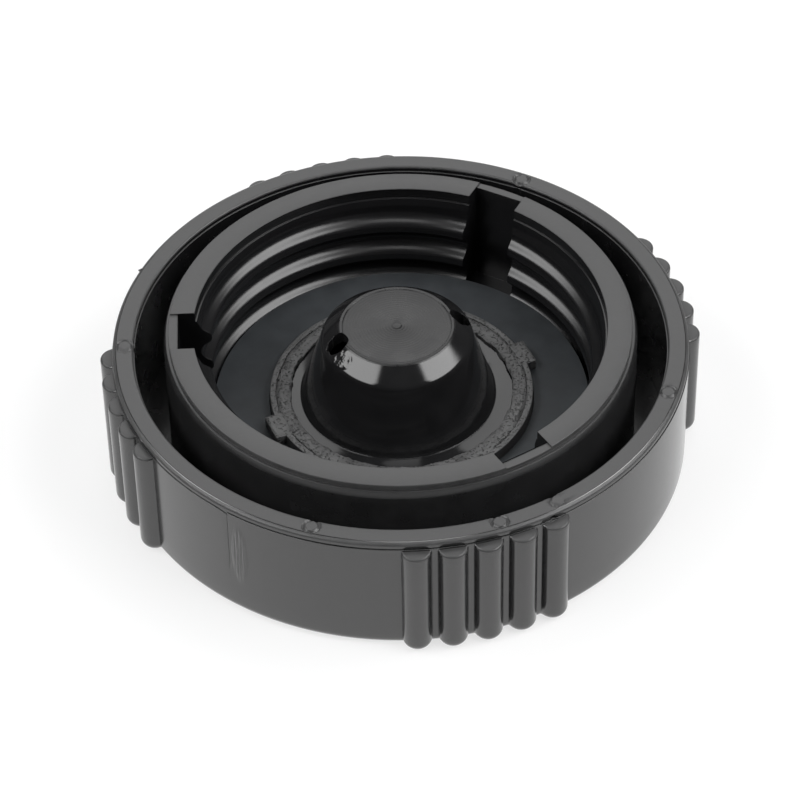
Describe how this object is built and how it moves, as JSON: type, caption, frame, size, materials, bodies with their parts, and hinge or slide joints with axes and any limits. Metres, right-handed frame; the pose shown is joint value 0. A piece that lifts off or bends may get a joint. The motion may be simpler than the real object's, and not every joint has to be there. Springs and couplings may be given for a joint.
{
  "type": "vented fuel tank cap",
  "caption": "Round screw-on fuel tank cap with a ribbed grip skirt, a slotted collar with coarse internal thread, a flat gasket and a raised vent housing.",
  "frame": {"origin": "on the cap's axis, at the crown's outer face on which the cap lies", "axes": "+Z along the cap's axis out of its threaded mouth; +X and +Y through the middle ribs of two grip groups"},
  "size_m": [0.105, 0.105, 0.028],
  "materials": {
    "cap_plastic": "satin",
    "vent_plastic": "gloss",
    "gasket_rubber": "satin",
    "plate_plastic": "satin",
    "poppet_plastic": "satin",
    "seal_rubber": "matte",
    "spring_wire": "satin",
    "filter_foam": "matte"
  },
  "bodies": {
    "cap": {"cap_body": "cap_plastic", "tank_gasket": "gasket_rubber", "vent_housing": "vent_plastic", "seat_plate": "plate_plastic", "dust_filter": "filter_foam", "valve_spring": "spring_wire"},
    "valve": {"valve_poppet": "poppet_plastic", "valve_seal": "seal_rubber"}
  },
  "joints": [
    {"name": "valve_lift", "type": "slide", "parent": "cap", "child": "valve", "axis": [0, 0, 1], "range_m": [0, 0.0025], "stiffness_N_per_m": 110, "springref_m": -0.0015, "deforming": ["valve_spring"]}
  ]
}
